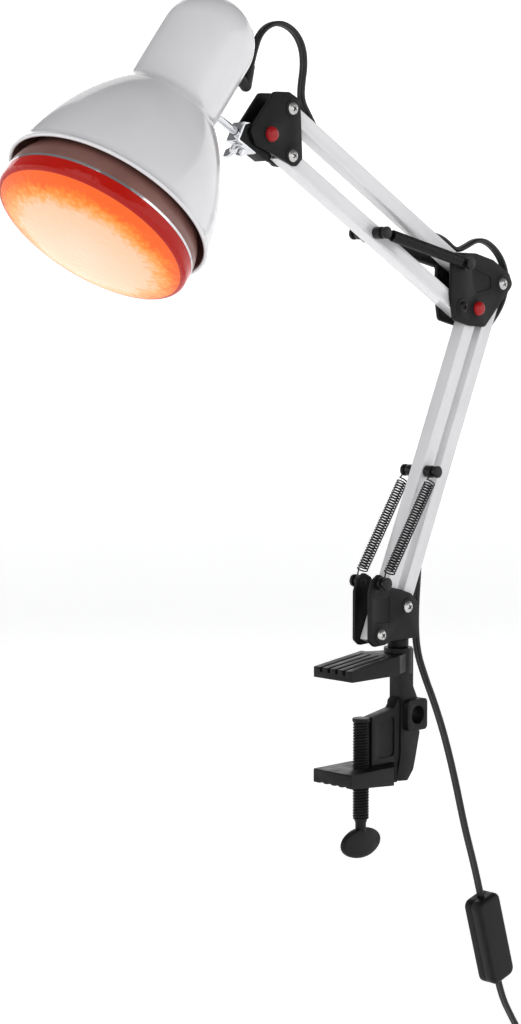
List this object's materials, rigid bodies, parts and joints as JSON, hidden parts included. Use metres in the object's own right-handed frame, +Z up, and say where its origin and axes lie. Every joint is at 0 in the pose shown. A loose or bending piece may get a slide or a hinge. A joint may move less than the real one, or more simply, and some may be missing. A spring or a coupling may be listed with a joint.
{
  "type": "clamp-on heat lamp",
  "caption": "Clamp-on infrared heat lamp on a spring-balanced parallel-link arm, with a tilting flared shade and a red reflector lamp, for keeping young poultry and small livestock warm",
  "frame": {"origin": "centre of the upper jaw's underside, the face that rests on a shelf or rail", "axes": "+Z up, the head points towards -X, -Y is the side with the bolt heads"},
  "size_m": [0.5595, 0.1422, 0.7882],
  "materials": {
    "white_enamel": "glossy white enamel",
    "black_plastic": "moulded, satin",
    "red_plastic": "glossy moulded cap",
    "chrome": "bright plated",
    "zinc_steel": "zinc plated",
    "black_steel": "blackened",
    "red_glass": "red-stained heat lamp face",
    "silvered_glass": "inside-silvered reflector glass",
    "ceramic": "glazed porcelain",
    "brass": "plain",
    "nylon": "bearing nylon",
    "cord_rubber": "flexible sheath"
  },
  "bodies": {
    "clamp": {"clamp_frame": "black_plastic", "cord_supply": "cord_rubber", "cord_drop": "cord_rubber", "cord_coil": "cord_rubber", "coil_tie": "nylon", "cord_tail": "cord_rubber", "switch_front_shell": "black_plastic", "switch_back_shell": "black_plastic", "plug_body": "black_plastic", "plug_pins": "brass"},
    "screw_carrier": {"screw_tip_cap": "black_plastic"},
    "screw": {"clamp_screw": "black_plastic", "clamp_knob": "black_plastic"},
    "arm_base": {"base_plate_near": "black_plastic", "base_plate_far": "black_plastic", "base_core": "black_plastic", "base_stem": "black_plastic", "base_spring_pins": "black_steel", "base_bolts": "zinc_steel", "base_nuts": "zinc_steel", "lower_springs": "black_steel"},
    "lower_front": {"lower_front_tube": "white_enamel", "lower_front_end_plugs": "nylon", "lower_front_spring_bar": "black_steel"},
    "lower_rear": {"lower_rear_tube": "white_enamel", "lower_rear_end_plugs": "nylon", "cord_lower_run": "cord_rubber"},
    "elbow": {"elbow_plate_near": "black_plastic", "elbow_plate_far": "black_plastic", "elbow_bolts": "zinc_steel", "elbow_nuts": "zinc_steel", "elbow_spring_bolt": "black_steel", "elbow_red_cap": "red_plastic", "cord_elbow_loop": "cord_rubber", "upper_springs": "black_steel"},
    "upper_lower": {"upper_lower_tube": "white_enamel", "upper_lower_end_plugs": "nylon", "upper_lower_spring_bar": "black_steel"},
    "upper_upper": {"upper_upper_tube": "white_enamel", "upper_upper_end_plugs": "nylon", "cord_upper_run": "cord_rubber"},
    "knuckle": {"knuckle_plate_near": "black_plastic", "knuckle_plate_far": "black_plastic", "knuckle_bolts": "zinc_steel", "knuckle_nuts": "zinc_steel", "knuckle_red_cap": "red_plastic"},
    "tilt": {"tilt_block": "black_plastic", "swivel_strap": "chrome", "cord_head_loop": "cord_rubber"},
    "wing": {"wing_bolt": "chrome"},
    "head": {"shade": "white_enamel", "lamp_holder": "ceramic", "holder_bracket": "zinc_steel", "swivel_pin": "chrome", "swivel_nut": "zinc_steel", "lamp_face": "red_glass", "lamp_reflector": "silvered_glass", "lamp_screw_cap": "brass", "cord_gland": "cord_rubber"},
    "rocker": {"switch_rocker": "black_plastic"}
  },
  "joints": [
    {"name": "screw_feed", "type": "slide", "parent": "clamp", "child": "screw_carrier", "axis": [0, 0, 1], "range_m": [0, 0.02]},
    {"name": "screw_turn", "type": "hinge", "parent": "screw_carrier", "child": "screw", "pos_m": [0.0043, 0, -0.032], "axis": [0, 0, 1], "range_deg": [0, 3600]},
    {"name": "base_swivel", "type": "hinge", "parent": "clamp", "child": "arm_base", "pos_m": [0.0415, 0, 0.01], "axis": [0, 0, 1], "range_deg": [-90, 90], "deforming": ["cord_supply"]},
    {"name": "lower_arm_tilt", "type": "hinge", "parent": "arm_base", "child": "lower_rear", "pos_m": [0.0423, 0, 0.0449], "axis": [0, 1, 0], "range_deg": [-40, 10], "deforming": ["cord_supply"]},
    {"name": "lower_front_link", "type": "hinge", "parent": "arm_base", "child": "lower_front", "pos_m": [0.0155, 0, 0.0275], "axis": [0, 1, 0], "range_deg": [-40, 10], "deforming": ["lower_springs"]},
    {"name": "elbow_level", "type": "hinge", "parent": "lower_rear", "child": "elbow", "pos_m": [0.14117, 0, 0.26907], "axis": [0, 1, 0], "range_deg": [-10, 40], "deforming": ["cord_elbow_loop"]},
    {"name": "upper_arm_tilt", "type": "hinge", "parent": "elbow", "child": "upper_upper", "pos_m": [0.09797, 0, 0.28297], "axis": [0, 1, 0], "range_deg": [-30, 30], "deforming": ["cord_elbow_loop"]},
    {"name": "upper_lower_link", "type": "hinge", "parent": "elbow", "child": "upper_lower", "pos_m": [0.09797, 0, 0.25257], "axis": [0, 1, 0], "range_deg": [-30, 30], "deforming": ["upper_springs"]},
    {"name": "head_level", "type": "hinge", "parent": "upper_upper", "child": "knuckle", "pos_m": [-0.07108, 0, 0.38096], "axis": [0, 1, 0], "range_deg": [-30, 30], "deforming": ["cord_head_loop"]},
    {"name": "head_tilt", "type": "hinge", "parent": "knuckle", "child": "tilt", "pos_m": [-0.09078, 0, 0.36356], "axis": [0, 1, 0], "range_deg": [-40, 40], "deforming": ["cord_head_loop"]},
    {"name": "wing_turn", "type": "hinge", "parent": "tilt", "child": "wing", "pos_m": [-0.10979, 0, 0.36189], "axis": [-0.4695, 0, -0.8829], "continuous": true},
    {"name": "head_swivel", "type": "hinge", "parent": "tilt", "child": "head", "pos_m": [-0.09566, 0, 0.35438], "axis": [-0.8829, 0, 0.4695], "range_deg": [-45, 45], "deforming": ["cord_head_loop"]},
    {"name": "rocker_press", "type": "hinge", "parent": "clamp", "child": "rocker", "pos_m": [0.1425, 0.0055, -0.2107], "axis": [0.957, 0, 0.29], "range_deg": [0, 8]}
  ],
  "couplings": [
    {"joint": "screw_feed", "follows": "screw_turn", "m_per_rad": 0.00031831},
    {"joint": "lower_front_link", "follows": "lower_arm_tilt", "ratio": 1},
    {"joint": "elbow_level", "follows": "lower_arm_tilt", "ratio": -1},
    {"joint": "upper_lower_link", "follows": "upper_arm_tilt", "ratio": 1},
    {"joint": "head_level", "follows": "upper_arm_tilt", "ratio": -1}
  ]
}
